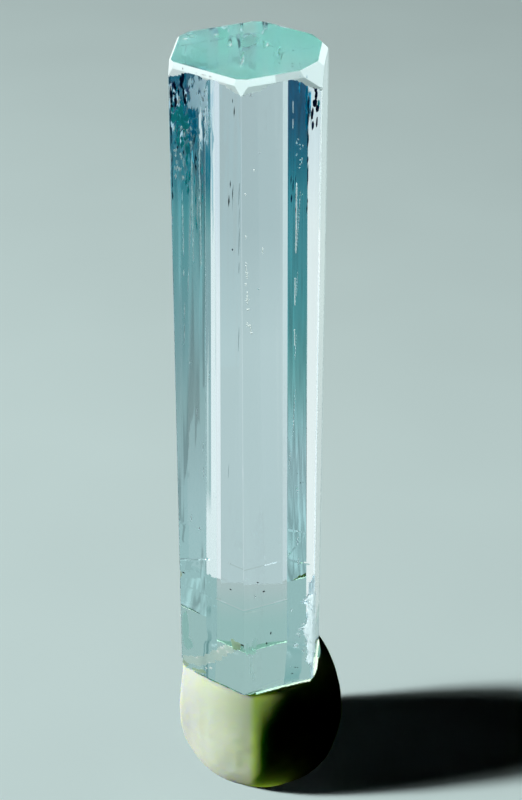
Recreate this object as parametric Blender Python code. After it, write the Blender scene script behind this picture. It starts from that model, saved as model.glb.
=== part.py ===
"""A clear, pale blue jeremejevite crystal that stands on a pressed lump of mounting putty.

The crystal is one six-sided prism with a flat end, bevelled top corners, lengthwise growth ridges,
worn and chipped edges, a growth line near its foot and a broken base. The putty is one soft lump with a
flat foot, a bulging side and a seat that follows the lean of the crystal's base. The origin is on the
table, under the middle of the putty. +Z runs up the crystal and one of its long edges faces -Y, the front.
"""

import math
import random

import bmesh
import bpy
from mathutils import Vector, noise

MM = 0.001

# Driving dimensions of the crystal
CORNER_RADIUS = 3.6 * MM
FACE_TURN = math.cos(math.radians(30))
APOTHEM = CORNER_RADIUS * FACE_TURN
LENGTH = 31.3 * MM
BASE_HEIGHT = 6.2 * MM
AXIS_X = -0.5 * MM

# The prism's twelve upright planes, 30 degrees apart from the front edge: edges are even, faces are odd
PLANES = 12
PLANE_STEP = math.radians(30)
FRONT = math.radians(-90)
# How far each face stands proud of the regular prism, in millimetres
PROUD = {1: -0.04, 3: 0.07, 5: -0.08, 7: -0.11, 9: 0.09, 11: -0.07}
# How far each long edge is worn flat, from the front edge round, in millimetres
EDGE_WEAR = (0.015, 0.03, 0.005, 0.07, 0.005, 0.01)

# For each plane, how far below the flat end it starts to lean in, in millimetres, and how steeply
TOP_BEVELS = (
    (0.65, 0.30),
    (0.28, 0.20),
    (0.85, 1.05),
    (0.25, 1.0),
    (0.52, 0.9),
    (0.08, 1.0),
    (0.15, 1.0),
    (0.08, 1.0),
    (0.30, 0.9),
    (0.04, 1.0),
    (0.60, 0.30),
    (0.24, 0.20),
)

# Chips on the long edges: plane, height above the base, half length and depth, in millimetres
CHIPS = (
    (2, 1.6, 0.45, 0.14),
    (2, 2.6, 0.50, 0.24),
    (2, 3.5, 0.35, 0.16),
    (2, 4.6, 0.55, 0.20),
    (0, 12.9, 0.30, 0.05),
    (10, 5.5, 0.25, 0.10),
    (10, 27.1, 0.60, 0.10),
    (10, 24.2, 0.35, 0.06),
    (10, -0.1, 0.70, 0.26),
    (0, -0.1, 0.45, 0.36),
)

# Etched hollows on the faces: plane, place across from 0 to 1, height, half width, half height and depth
PITS = (
    (11, 0.22, 29.5, 0.50, 0.35, 0.05),
    (11, 0.40, 27.3, 0.45, 0.70, 0.04),
    (9, 0.35, 28.7, 0.60, 0.55, 0.07),
    (9, 0.62, 25.9, 0.50, 0.80, 0.06),
    (3, 0.45, 29.3, 0.55, 0.50, 0.06),
    (7, 0.35, 28.1, 0.60, 0.60, 0.05),
    (5, 0.70, 21.3, 0.40, 0.90, 0.04),
)

GROWTH_LINE = 4.95 * MM
GROWTH_LINE_DEPTH = 0.04 * MM
GROWTH_LINE_HALF = 0.06 * MM

# Each face has ridges side by side, of depths in millimetres that are deepest on the side faces
RIDGES = 8
RIDGE_DEPTH = {1: 0.008, 3: 0.030, 5: 0.010, 7: 0.010, 9: 0.030, 11: 0.008}
RIDGE_SEED = 11
RIDGE_WAVER_LENGTH = 4.0 * MM
RIDGES_START = 1.5 * MM
RIDGES_END = (2.0 * MM, 0.9 * MM)

# Heights of the rings along the plain prism, in millimetres, and the least step between two rings
PLAIN_LEVELS = (1.1, 1.9, 7.0, 9.5, 11.5, 15.8, 17.0, 19.8, 22.3, 24.9, 30.3)
LOWEST_LEVEL = 0.7
LEAST_STEP = 0.055

# The broken base is higher on the left and has shell-shaped waves, and the flat end is all but flat
BASE_TILT = -0.03
BASE_WAVE = 0.12 * MM
BASE_WAVE_LENGTH = 2.2 * MM
BASE_RINGS = (0.34, 0.62, 0.86)
TOP_WAVE = 0.012 * MM
TOP_WAVE_LENGTH = 1.5 * MM
TOP_RINGS = (0.90, 0.55)

# Driving dimensions of the putty
PUTTY_RADIUS = 4.05 * MM
PUTTY_FOOT = 2.6 * MM
PUTTY_WIDEST = 2.9 * MM
PUTTY_SHOULDER = 1.25
SEAT_GAP = 0.3 * MM
RIM_LEFT = 2.85 * MM
RIM_RIGHT = 3.35 * MM
RIM_LONGEST = math.radians(15)
PUTTY_SIDES = 48
PUTTY_ARC_STEPS = 7
FOOT_RINGS = (0.5, 1.0)
SEAT_RINGS = (0.80, 0.50, 0.25)
LUMP_DEPTH = 0.10 * MM
LUMP_LENGTH = 1.9 * MM
# Thumb dents: direction in degrees, height, half width in degrees and depth
DENT_HALF_HEIGHT = 2.2 * MM
THUMB_DENTS = (
    (-125.0, 3.6 * MM, 34.0, 0.10 * MM),
    (-20.0, 2.9 * MM, 30.0, 0.10 * MM),
    (95.0, 3.2 * MM, 38.0, 0.18 * MM),
)

CRYSTAL_COLOUR = (0.78, 0.91, 0.94, 1.0)
CRYSTAL_ROUGHNESS = 0.04
CRYSTAL_IOR = 1.64
PUTTY_COLOUR = (0.74, 0.80, 0.55, 1.0)
PUTTY_ROUGHNESS = 0.65
SOFT_EDGE = math.radians(40)


def clear_scene():
    for obj in list(bpy.data.objects):
        bpy.data.objects.remove(obj)


def material(name, colour, roughness):
    made = bpy.data.materials.new(name)
    made.use_nodes = True
    shader = made.node_tree.nodes["Principled BSDF"]
    shader.inputs["Base Color"].default_value = colour
    shader.inputs["Roughness"].default_value = roughness
    shader.inputs["Metallic"].default_value = 0.0
    return made


def clear_material():
    made = material("clear_crystal", CRYSTAL_COLOUR, CRYSTAL_ROUGHNESS)
    shader = made.node_tree.nodes["Principled BSDF"]
    shader.inputs["Transmission Weight"].default_value = 1.0
    shader.inputs["IOR"].default_value = CRYSTAL_IOR
    return made


def smooth_step(low, high, value):
    share = min(1.0, max(0.0, (value - low) / (high - low)))
    return share * share * (3 - 2 * share)


def hump(distance, half):
    """1 at the middle, falling to 0 at half."""
    return max(0.0, 1 - (distance / half) ** 2)


def plane_angle(plane):
    return FRONT + plane * PLANE_STEP


def growth_line(z):
    return GROWTH_LINE_DEPTH * hump(z - GROWTH_LINE, GROWTH_LINE_HALF)


def chip(plane, z):
    depths = (
        depth * MM * hump(z - height * MM, half * MM)
        for chipped, height, half, depth in CHIPS
        if chipped == plane
    )
    return max(depths, default=0.0)


def plane_distance(plane, z):
    """How far the plane is from the crystal's axis at height z above the base."""
    depth, lean = TOP_BEVELS[plane]
    cut = max(0.0, z - (LENGTH - depth * MM)) * lean + growth_line(z)
    if plane % 2:
        return APOTHEM + PROUD[plane] * MM - cut
    proud = (PROUD[(plane - 1) % PLANES] + PROUD[plane + 1]) * MM / 2 / FACE_TURN
    worn = EDGE_WEAR[plane // 2] * MM
    return CORNER_RADIUS + proud - worn - cut - chip(plane, z)


def outline(z):
    """The twelve corners of the cross-section at height z, each between one plane and the next."""
    corners = []
    for plane in range(PLANES):
        after = (plane + 1) % PLANES
        a, b = plane_angle(plane), plane_angle(after)
        p, q = plane_distance(plane, z), plane_distance(after, z)
        turn = math.sin(b - a)
        x = (p * math.sin(b) - q * math.sin(a)) / turn
        y = (q * math.cos(a) - p * math.cos(b)) / turn
        corners.append(Vector((x, y)))
    return corners


def ridge_table():
    """Depth of each growth ridge on each face. The outermost are level with the face."""
    dice = random.Random(RIDGE_SEED)
    table = {}
    for plane, depth in RIDGE_DEPTH.items():
        inner = [dice.uniform(0.1, 1.0) * depth * MM for _ in range(RIDGES - 1)]
        table[plane] = [0.0, *inner, 0.0]
    return table


def ridge_fade(z):
    """Ridges fade out towards the broken base and the flat end."""
    start, end = RIDGES_END
    return smooth_step(0, RIDGES_START, z) * (1 - smooth_step(LENGTH - start, LENGTH - end, z))


def relief(plane, column, z, ridges):
    """How deep the surface lies under the face: its ridges and its etched hollows."""
    waver = noise.noise(Vector((plane * 3.1, column * 1.7, z / RIDGE_WAVER_LENGTH)))
    depth = ridges[plane][column] * ridge_fade(z) * (0.75 + 0.5 * waver)
    for pitted, place, height, half_width, half_height, deep in PITS:
        if pitted == plane:
            sideways = hump((column / RIDGES - place) * CORNER_RADIUS, half_width * MM)
            depth += deep * MM * sideways * hump(z - height * MM, half_height * MM)
    return depth


def ring(z, ridges):
    """Points round the crystal at height z: the two ends of each face and the ridges between them."""
    corners = outline(z)
    points = []
    for plane in range(1, PLANES, 2):
        start, end = corners[plane - 1], corners[plane]
        inward = -Vector((math.cos(plane_angle(plane)), math.sin(plane_angle(plane))))
        for column in range(RIDGES + 1):
            point = start.lerp(end, column / RIDGES)
            if 0 < column < RIDGES:
                point += inward * relief(plane, column, z, ridges)
            points.append(point)
    return points


def base_level(point):
    """Height of the broken base under a point, measured from the mean base."""
    waves = noise.noise(Vector((point.x, point.y, 0.0)) / BASE_WAVE_LENGTH)
    return BASE_TILT * point.x + BASE_WAVE * waves


def top_level(point):
    return LENGTH + TOP_WAVE * noise.noise(Vector((point.x, point.y, 0.0)) / TOP_WAVE_LENGTH)


def levels():
    """Heights of the rings: a few on the plain prism, more at chips, hollows, the growth line and the top."""
    line, half = GROWTH_LINE / MM, GROWTH_LINE_HALF / MM
    heights = {line - half, line - half / 2, line, line + half / 2, line + half, *PLAIN_LEVELS}
    for _, height, half_length, _ in CHIPS:
        heights |= {height - half_length, height, height + half_length}
    for _, _, height, _, half_height, _ in PITS:
        heights |= {height - half_height, height, height + half_height}
    top = LENGTH / MM
    heights |= {top - depth for depth, _ in TOP_BEVELS}
    kept = [LOWEST_LEVEL]
    for height in sorted(heights):
        if height - kept[-1] > LEAST_STEP and height < top - LEAST_STEP:
            kept.append(height)
    return [height * MM for height in [*kept, top]]


def shrunk(points, share, level):
    """The ring drawn in towards the axis, with each point at the height that level gives it."""
    inner = [point * share for point in points]
    return [Vector((p.x, p.y, level(p))) for p in inner]


def crystal_rings():
    """Every ring of the crystal, from inside its base to inside its flat end."""
    ridges = ridge_table()
    foot, flat_end = ring(0.0, ridges), ring(LENGTH, ridges)
    rings = [shrunk(foot, share, base_level) for share in [*BASE_RINGS, 1.0]]
    for z in levels():
        rings.append([Vector((p.x, p.y, z)) for p in ring(z, ridges)])
    rings += [shrunk(flat_end, share, top_level) for share in TOP_RINGS]
    return rings


def lofted(name, rings, low_centre, high_centre):
    """One closed mesh through the rings, from a point inside the lowest to one inside the highest."""
    mesh = bmesh.new()
    rows = [[mesh.verts.new(point) for point in points] for points in rings]
    count = len(rows[0])
    low, high = mesh.verts.new(low_centre), mesh.verts.new(high_centre)
    for i in range(count):
        after = (i + 1) % count
        mesh.faces.new((low, rows[0][after], rows[0][i]))
        mesh.faces.new((high, rows[-1][i], rows[-1][after]))
        for lower, upper in zip(rows, rows[1:]):
            mesh.faces.new((lower[i], lower[after], upper[after], upper[i]))
    data = bpy.data.meshes.new(name)
    mesh.to_mesh(data)
    mesh.free()
    made = bpy.data.objects.new(name, data)
    bpy.context.scene.collection.objects.link(made)
    return made


def make_crystal():
    middle = Vector((0.0, 0.0))
    low, high = Vector((0, 0, base_level(middle))), Vector((0, 0, top_level(middle)))
    crystal = lofted("crystal", crystal_rings(), low, high)
    crystal.location = (AXIS_X, 0, BASE_HEIGHT)
    crystal.data.materials.append(clear_material())


def rim_radius(angle):
    """The putty's rim reaches out furthest on the right, where the crystal pressed it aside."""
    right = smooth_step(-0.2, 0.8, math.cos(angle - RIM_LONGEST))
    return RIM_LEFT + (RIM_RIGHT - RIM_LEFT) * right


def seat_level(x):
    """Height of the seat, which leans like the crystal's base and stays clear of its waves."""
    return BASE_HEIGHT + BASE_TILT * (x - AXIS_X) - BASE_WAVE / 2 - SEAT_GAP


def dent(angle, z):
    """How far the putty's side is pushed in by the fingers that rolled it."""
    place = Vector((PUTTY_RADIUS * math.cos(angle), PUTTY_RADIUS * math.sin(angle), z))
    depth = LUMP_DEPTH * noise.noise(place / LUMP_LENGTH)
    for degrees, height, half_width, deep in THUMB_DENTS:
        turn = math.remainder(angle - math.radians(degrees), math.tau)
        depth += deep * hump(turn, math.radians(half_width)) * hump(z - height, DENT_HALF_HEIGHT)
    return depth


def foot_point(angle, share):
    radius = PUTTY_FOOT * share
    return Vector((radius * math.cos(angle), radius * math.sin(angle), 0))


def lower_point(angle, turn):
    """A point on the side below its widest level: turn goes from 0 at the foot to a quarter turn."""
    z = PUTTY_WIDEST * (1 - math.cos(turn))
    radius = PUTTY_FOOT + (PUTTY_RADIUS - PUTTY_FOOT) * math.sin(turn)
    radius -= dent(angle, z) * math.sin(turn)
    return Vector((radius * math.cos(angle), radius * math.sin(angle), z))


def upper_point(angle, turn):
    """A point on the side above its widest level: turn goes up to a quarter turn at the rim."""
    rim = rim_radius(angle)
    top = seat_level(rim * math.cos(angle))
    rise = math.sin(turn)
    z = PUTTY_WIDEST + (top - PUTTY_WIDEST) * rise
    radius = rim + (PUTTY_RADIUS - rim) * math.cos(turn) ** PUTTY_SHOULDER
    radius -= dent(angle, z) * (1 - rise)
    return Vector((radius * math.cos(angle), radius * math.sin(angle), z))


def seat_point(angle, share):
    radius = rim_radius(angle) * share
    x = radius * math.cos(angle)
    return Vector((x, radius * math.sin(angle), seat_level(x)))


def putty_rings():
    """Every ring of the putty: the foot, the bulging side, the rim and the seat."""
    angles = [math.tau * side / PUTTY_SIDES for side in range(PUTTY_SIDES)]
    turns = [math.radians(90) * (step + 1) / PUTTY_ARC_STEPS for step in range(PUTTY_ARC_STEPS)]
    rings = [[foot_point(angle, share) for angle in angles] for share in FOOT_RINGS]
    rings += [[lower_point(angle, turn) for angle in angles] for turn in turns]
    rings += [[upper_point(angle, turn) for angle in angles] for turn in turns]
    rings += [[seat_point(angle, share) for angle in angles] for share in SEAT_RINGS]
    return rings


def make_putty():
    low, high = Vector((0, 0, 0)), Vector((0, 0, seat_level(0)))
    putty = lofted("putty_base", putty_rings(), low, high)
    putty.data.shade_smooth()
    putty.data.set_sharp_from_angle(angle=SOFT_EDGE)
    putty.data.materials.append(material("putty", PUTTY_COLOUR, PUTTY_ROUGHNESS))


clear_scene()
make_crystal()
make_putty()
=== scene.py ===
"""The looks of a clear, pale blue jeremejevite crystal that stands on a lump of pale green putty.

The crystal is one closed, refracting mesh with fine lengthwise ridges on its faces, etched hollows near
its flat end, frosted bevels and chips, and a broken base. Small cracks, streaks and specks lie inside it,
and thin films and crumbs lie on it. The putty is a finger-pressed lump that lets light in a little way.
Lengths are in metres, and in tables in millimetres.
"""

import math
import random

import bmesh
import bpy
from mathutils import Matrix, Vector, noise


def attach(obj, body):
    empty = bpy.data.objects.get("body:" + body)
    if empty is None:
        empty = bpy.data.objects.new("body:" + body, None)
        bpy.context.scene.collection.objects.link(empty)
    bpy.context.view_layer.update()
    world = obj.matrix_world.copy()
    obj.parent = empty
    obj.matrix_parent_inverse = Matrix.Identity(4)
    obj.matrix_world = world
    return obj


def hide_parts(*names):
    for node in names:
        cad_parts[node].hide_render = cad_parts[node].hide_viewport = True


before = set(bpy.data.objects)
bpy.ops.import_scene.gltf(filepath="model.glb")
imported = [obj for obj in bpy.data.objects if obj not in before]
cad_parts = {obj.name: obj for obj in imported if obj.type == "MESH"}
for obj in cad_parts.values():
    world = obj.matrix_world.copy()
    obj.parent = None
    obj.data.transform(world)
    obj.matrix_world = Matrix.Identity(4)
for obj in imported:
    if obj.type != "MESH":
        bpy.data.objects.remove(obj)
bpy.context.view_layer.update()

MM = 0.001

# The crystal's driving dimensions, as in the frame
CORNER_RADIUS = 3.6 * MM
APOTHEM_SHARE = math.cos(math.radians(30))
APOTHEM = CORNER_RADIUS * APOTHEM_SHARE
LENGTH = 31.3 * MM
BASE_HEIGHT = 6.2 * MM
AXIS_X = -0.5 * MM
# Planes round the axis, counted from the front edge: even ones are worn edges and odd ones are faces
PLANES = 12
PLANE_STEP = math.radians(30)
FRONT = math.radians(-90)
FACES = range(1, PLANES, 2)
FRONT_LEFT = 11
FRONT_RIGHT = 1
# How far each face stands out from a regular prism, and how far each edge is worn back
PROUD = {1: -0.04, 3: 0.07, 5: -0.08, 7: -0.11, 9: 0.09, 11: -0.07}
EDGE_WEAR = (0.003, 0.03, 0.005, 0.07, 0.005, 0.01)
# For each plane, how far below the flat end it starts to lean in, and how steeply
TOP_BEVELS = (
    (0.65, 0.4), (0.28, 0.45), (0.85, 0.66), (0.25, 1.0), (0.52, 0.9), (0.08, 1.0), (0.15, 1.0),
    (0.08, 1.0), (0.3, 0.9), (0.08, 1.0), (0.6, 0.3), (0.24, 0.45),
)
# Chips on the long edges: plane, height of the deepest point above the base, length and depth
CHIPS = (
    (2, 1.9, 1.4, 0.12), (2, 2.85, 0.9, 0.16), (2, 3.8, 0.9, 0.1), (2, 4.75, 1.1, 0.12),
    (0, 12.9, 0.5, 0.02), (10, 5.6, 0.4, 0.08), (10, 27.1, 1.0, 0.04), (10, 24.2, 0.7, 0.03),
    (10, 0.35, 0.9, 0.22),
)
CHIP_STEEP = 0.2
GROWTH_LINE = 4.95 * MM
GROWTH_LINE_DEPTH = 0.004 * MM
GROWTH_LINE_HALF = 0.07 * MM

# Columns across each face and rows along the crystal, which are close together where the relief is fine
COLUMNS = 56
FIRST_ROW = 0.35 * MM
FINE_ROW = 0.11 * MM
PLAIN_ROW = 0.45 * MM
LEAST_ROW = 0.02 * MM
END_ROW = 0.05 * MM
FINE_TOP = 9 * MM
FINE_FOOT = 6.2 * MM

# The broken base and the flat end: their waves, and rings as shares of the outline
BASE_TILT = -0.03
BASE_WAVE = 0.05 * MM
BASE_WAVE_LENGTH = 2.2 * MM
BASE_CALM = 0.55
BASE_MIDDLE_WAVE = 0.25
BASE_RINGS = [share / 24 for share in range(1, 24)] + [0.985, 1.0]
TOP_WAVE = 0.002 * MM
TOP_WAVE_LENGTH = 0.9 * MM
TOP_RINGS = (0.97, 0.92, 0.84, 0.74, 0.62, 0.50, 0.38, 0.26, 0.14)

# For each face: ridge depth, and the least and greatest ridge width as a share of the face
RIDGES = {
    1: (0.0006, 0.1, 0.3), 3: (0.009, 0.02, 0.1), 5: (0.0008, 0.1, 0.3), 7: (0.0008, 0.1, 0.3),
    9: (0.003, 0.02, 0.1), 11: (0.0006, 0.1, 0.3),
}
# The ridges waver along the crystal and from one to the next, and fade out at both ends
RIDGE_SEED = 29
RIDGE_MEAN = 0.75
RIDGE_WAVER = 0.5
WAVER_BETWEEN_FACES = 3.1
WAVER_PER_COLUMN = 0.15
WAVER_LENGTH = 5 * MM
RIDGE_FADE = 0.8 * MM
TOP_FADE = 1.2 * MM

# Etched hollows near the flat end of a face: depth, how far down they reach, and the part of the face's
# width that they cover
ETCHING = {
    1: (0.018, 3.4, 0.87, 1), 3: (0.004, 7.5, 0, 1), 9: (0.004, 6.5, 0, 1), 11: (0.025, 6.2, 0, 0.44),
}
ETCHING_FULL = 0.35
ETCHING_EDGE = 0.03
HOLLOW_WIDTH = 0.26 * MM
HOLLOW_HEIGHT = 1.2 * MM
HOLLOW_BETWEEN_FACES = 5.7
HOLLOW_MEAN = 0.5

IOR = 1.64
ABSORB_DENSITY = 20
ABSORB_COLOUR = (0.37, 0.76, 0.9, 1)


def smooth_step(low, high, value):
    """Rises from 0 at low to 1 at high, which may also lie below low."""
    share = min(1.0, max(0.0, (value - low) / (high - low)))
    return share * share * (3 - 2 * share)


def hump(distance, half):
    """1 in the middle, and 0 from half a width away."""
    return max(0.0, 1 - (distance / half) ** 2)


def between(knots, place):
    """The value at a place between knots, each a place and its value."""
    for (a, low), (b, high) in zip(knots, knots[1:]):
        if place <= b:
            return low + (high - low) * max(0.0, place - a) / (b - a)
    return knots[-1][1]


def direction(turn, level=0.0):
    """Unit vector at a turn round the upright axis and an angle above the floor."""
    flat = math.cos(level)
    return Vector((math.cos(turn) * flat, math.sin(turn) * flat, math.sin(level)))


def plane_angle(plane):
    return FRONT + plane * PLANE_STEP


def facing(plane):
    return direction(plane_angle(plane)).xy


def link(obj):
    bpy.context.scene.collection.objects.link(obj)
    return obj


def mesh_object(name, mesh):
    data = bpy.data.meshes.new(name)
    mesh.to_mesh(data)
    mesh.free()
    return link(bpy.data.objects.new(name, data))


def belong(piece, node):
    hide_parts(node)
    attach(piece, "root")


# Nodes and materials


def feed(node, values):
    """Set a node's inputs, by name or number, to values or to the outputs of other nodes."""
    for name, value in values.items():
        if isinstance(value, bpy.types.NodeSocket):
            node.id_data.links.new(value, node.inputs[name])
        else:
            node.inputs[name].default_value = value


def add_node(tree, kind, values=None, **settings):
    node = tree.nodes.new("ShaderNode" + kind)
    for name, setting in settings.items():
        setattr(node, name, setting)
    feed(node, values or {})
    return node


def new_material(name, colour, roughness, values=None):
    material = bpy.data.materials.new(name)
    material.use_nodes = True
    feed(shader_of(material), {"Base Color": (*colour, 1), "Roughness": roughness, **(values or {})})
    return material


def shader_of(material):
    return material.node_tree.nodes["Principled BSDF"]


def map_range(tree, value, source, target=(0.0, 1.0)):
    """A value moved from one range to another."""
    values = {"Value": value, "From Min": source[0], "From Max": source[1]}
    values |= {"To Min": target[0], "To Max": target[1]}
    return add_node(tree, "MapRange", values).outputs["Result"]


def ramp_over(tree, stops, span, share):
    """The colour at a share of the span, where each stop is a place in the span and its colour."""
    ramp = add_node(tree, "ValToRGB", {"Fac": share})
    elements = ramp.color_ramp.elements
    elements[0].position, elements[1].position = 0.0, 1.0
    elements[0].color, elements[1].color = (*stops[0][1:], 1), (*stops[-1][1:], 1)
    for place, *colour in stops[1:]:
        if place < span:
            elements.new(place / span).color = (*colour, 1)
    return ramp.outputs["Color"]


def ramp_along(tree, stops, span, source, axis, reach):
    """A colour that changes along one axis of the source, over its reach from low to high."""
    where = add_node(tree, "TexCoord").outputs[source]
    split = add_node(tree, "SeparateXYZ", {"Vector": where})
    return ramp_over(tree, stops, span, map_range(tree, split.outputs[axis], reach))


# Crystal


def chip(plane, z):
    """Depth of the chips at a height: steep above the deepest point and long below it."""
    depths = [0.0]
    for chipped, height, length, depth in CHIPS:
        above = z / MM - height
        if chipped == plane:
            reach = CHIP_STEEP * length if above > 0 else length * (1 - CHIP_STEEP)
            depths.append(depth * MM * max(0.0, 1 - abs(above) / reach))
    return max(depths)


def plane_distance(plane, z):
    depth, lean = TOP_BEVELS[plane]
    cut = max(0.0, z - (LENGTH - depth * MM)) * lean
    cut += GROWTH_LINE_DEPTH * hump(z - GROWTH_LINE, GROWTH_LINE_HALF)
    if plane in FACES:
        return APOTHEM + PROUD[plane] * MM - cut
    proud = (PROUD[(plane - 1) % PLANES] + PROUD[plane + 1]) * MM / 2 / APOTHEM_SHARE
    worn = EDGE_WEAR[plane // 2] * MM
    return CORNER_RADIUS + proud - worn - cut - chip(plane, z)


def outline(z):
    """The corners of the cross-section at a height, each where a plane meets the next one."""
    corners = []
    for plane in range(PLANES):
        after = (plane + 1) % PLANES
        a, b = plane_angle(plane), plane_angle(after)
        p, q = plane_distance(plane, z), plane_distance(after, z)
        turn = math.sin(b - a)
        x = (p * math.sin(b) - q * math.sin(a)) / turn
        y = (q * math.cos(a) - p * math.cos(b)) / turn
        corners.append(Vector((x, y)))
    return corners


def ridge_profile(dice, depth, narrow, wide):
    """Depth under the face at each column: straight slopes between ridges of uneven width."""
    knots, place = [(0.0, 0.0)], 0.0
    while place < 1.0:
        place += dice.uniform(narrow, wide)
        knots.append((place, dice.random() ** 2 * depth))
    values = [between(knots, column / COLUMNS) for column in range(COLUMNS + 1)]
    values[0] = values[-1] = 0.0
    return values


def ridge_tables():
    dice = random.Random(RIDGE_SEED)
    return {
        plane: ridge_profile(dice, depth * MM, narrow, wide)
        for plane, (depth, narrow, wide) in RIDGES.items()
    }


def etched(plane, column, z):
    """Long shallow hollows that thin out down the face."""
    if plane not in ETCHING:
        return 0.0
    depth, reach, start, end = ETCHING[plane]
    share = column / COLUMNS
    strength = smooth_step(LENGTH - reach * MM, LENGTH - ETCHING_FULL * reach * MM, z)
    if start > 0:
        strength *= smooth_step(start - ETCHING_EDGE, start + ETCHING_EDGE, share)
    if end < 1:
        strength *= smooth_step(end + ETCHING_EDGE, end - ETCHING_EDGE, share)
    place = share * CORNER_RADIUS / HOLLOW_WIDTH, z / HOLLOW_HEIGHT, plane * HOLLOW_BETWEEN_FACES
    hollow = HOLLOW_MEAN + noise.noise(Vector(place))
    return depth * MM * strength * hollow * min(1.0, min(column, COLUMNS - column) / 2)


def relief(plane, column, z, tables):
    if column in (0, COLUMNS):
        return 0.0
    place = plane * WAVER_BETWEEN_FACES, column * WAVER_PER_COLUMN, z / WAVER_LENGTH
    waver = RIDGE_MEAN + RIDGE_WAVER * noise.noise(Vector(place))
    fade = smooth_step(0, RIDGE_FADE, z) * (1 - smooth_step(LENGTH - TOP_FADE, LENGTH - RIDGE_FADE, z))
    return tables[plane][column] * waver * fade + etched(plane, column, z) * fade


def ring(z, tables):
    corners = outline(z)
    points = []
    for plane in FACES:
        start, end = corners[plane - 1], corners[plane]
        for column in range(COLUMNS + 1):
            point = start.lerp(end, column / COLUMNS)
            points.append(point - facing(plane) * relief(plane, column, z, tables))
    return points


def base_level(point):
    """The broken base: waves at its rim that calm down towards the middle."""
    rim = smooth_step(BASE_CALM, 1.0, point.length / APOTHEM)
    waves = noise.noise(Vector((point.x, point.y, 0.0)) / BASE_WAVE_LENGTH)
    return BASE_TILT * point.x + BASE_WAVE * waves * (BASE_MIDDLE_WAVE + (1 - BASE_MIDDLE_WAVE) * rim)


def top_level(point):
    return LENGTH + TOP_WAVE * noise.noise(Vector((point.x, point.y, 0.0)) / TOP_WAVE_LENGTH)


def levels():
    """Heights of the rows along the side faces."""
    heights = []
    z = FIRST_ROW
    while z < LENGTH - END_ROW:
        heights.append(z)
        fine = z < FINE_FOOT or z > LENGTH - FINE_TOP
        z += FINE_ROW if fine else PLAIN_ROW
    heights += [LENGTH - depth * MM for depth, _ in TOP_BEVELS]
    heights += [GROWTH_LINE - GROWTH_LINE_HALF, GROWTH_LINE, GROWTH_LINE + GROWTH_LINE_HALF]
    kept = []
    for height in sorted(heights):
        if not kept or height - kept[-1] > LEAST_ROW:
            kept.append(height)
    return [*kept, LENGTH]


def raised(points, share, level):
    """The ring drawn in towards the axis, with each point at the height that level gives it."""
    inner = [point * share for point in points]
    return [Vector((p.x, p.y, level(p))) for p in inner]


def lofted(name, rings, low_centre, high_centre):
    """A closed mesh through rings of points, from one centre to the other."""
    mesh = bmesh.new()
    rows = [[mesh.verts.new(point) for point in points] for points in rings]
    count = len(rows[0])
    low, high = mesh.verts.new(low_centre), mesh.verts.new(high_centre)
    for i in range(count):
        after = (i + 1) % count
        mesh.faces.new((low, rows[0][after], rows[0][i]))
        mesh.faces.new((high, rows[-1][i], rows[-1][after]))
        for lower, upper in zip(rows, rows[1:]):
            mesh.faces.new((lower[i], lower[after], upper[after], upper[i]))
    return mesh_object(name, mesh)


# Finishes of the crystal's surface

CLEAR, FROSTED, HAZY, WORN, BRUISED = range(5)
# In the same order: name, colour, metallic, transmission and roughness
FINISHES = (
    ("clear_crystal", (1, 1, 1), 0, 1, 0),
    ("frosted_crystal", (0.92, 0.98, 0.98), 0.6, 0.25, 1),
    ("hazy_crystal", (0.94, 1, 1), 0.85, 0.15, 1),
    ("worn_crystal", (0.98, 1, 1), 0.1, 0.88, 0.9),
    ("bruised_crystal", (0.17, 0.24, 0.18), 0, 0, 0.9),
)
# How deep the frost reaches below the flat end on the two front faces: share of the face and depth
FROST_RIM = {
    1: ((0, 0.66), (0.19, 0.56), (0.39, 0.34), (0.62, 0.28), (0.75, 0.45), (0.86, 0.7), (1, 0.95)),
    11: ((0, 0.62), (0.12, 0.46), (0.25, 0.24), (0.5, 0.3), (0.64, 0.24), (0.85, 0.46), (1, 0.66)),
}
FROST_JITTER = 0.08
FROST_JITTER_LENGTH = 0.25 * MM
HAZY_FROM = 0.8
HAZY_TO = 0.45
# Worn streaks by the right edge of the front-right face: height and the share at which they start
STREAKS_RIGHT = (
    (0, 1), (0.7, 0.99), (0.9, 0.95), (1.1, 0.9), (1.25, 0.94), (1.9, 0.93), (2.45, 0.91), (2.75, 0.87),
    (2.95, 0.88), (3.08, 0.8), (3.16, 0.9), (3.6, 0.925), (4.4, 0.925), (4.55, 0.84), (4.7, 0.88),
    (4.95, 0.93), (5.6, 0.95), (5.8, 1),
)
WORN_JITTER = 0.35
WORN_JITTER_LENGTH = 0.3 * MM
WORN_JITTER_UP = 0.2
WORN_JITTER_ACROSS = 0.02
# Slopes, as the upward part of a face's normal
UNDERSIDE = -0.25
CHIP_SLOPE = 0.08
BEVEL_SLOPE = 0.12
FLAT_SLOPE = 0.97
# Where the base, the chips, the worn part and the bevels end
BASE_REACH = 0.3 * MM
CHIP_TOP = 5.8 * MM
CHIP_INNER = 2.4 * MM
WORN_TOP = 6 * MM
BEVEL_REACH = 0.9 * MM


def nearest_face(point):
    """The face that a point lies on and the point's share across it."""
    plane = max(FACES, key=lambda face: point.xy.dot(facing(face)) - PROUD[face] * MM)
    along = point.xy.dot(Vector((-facing(plane).y, facing(plane).x)))
    return plane, 0.5 + along / CORNER_RADIUS


def lower_finish(plane, share, middle):
    """Worn streaks low on the front-right face."""
    jitter = WORN_JITTER * noise.noise(middle / WORN_JITTER_LENGTH)
    start = between(STREAKS_RIGHT, middle.z / MM + WORN_JITTER_UP * jitter)
    worn = plane == FRONT_RIGHT and share > start - WORN_JITTER_ACROSS * jitter
    return WORN if worn else CLEAR


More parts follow.
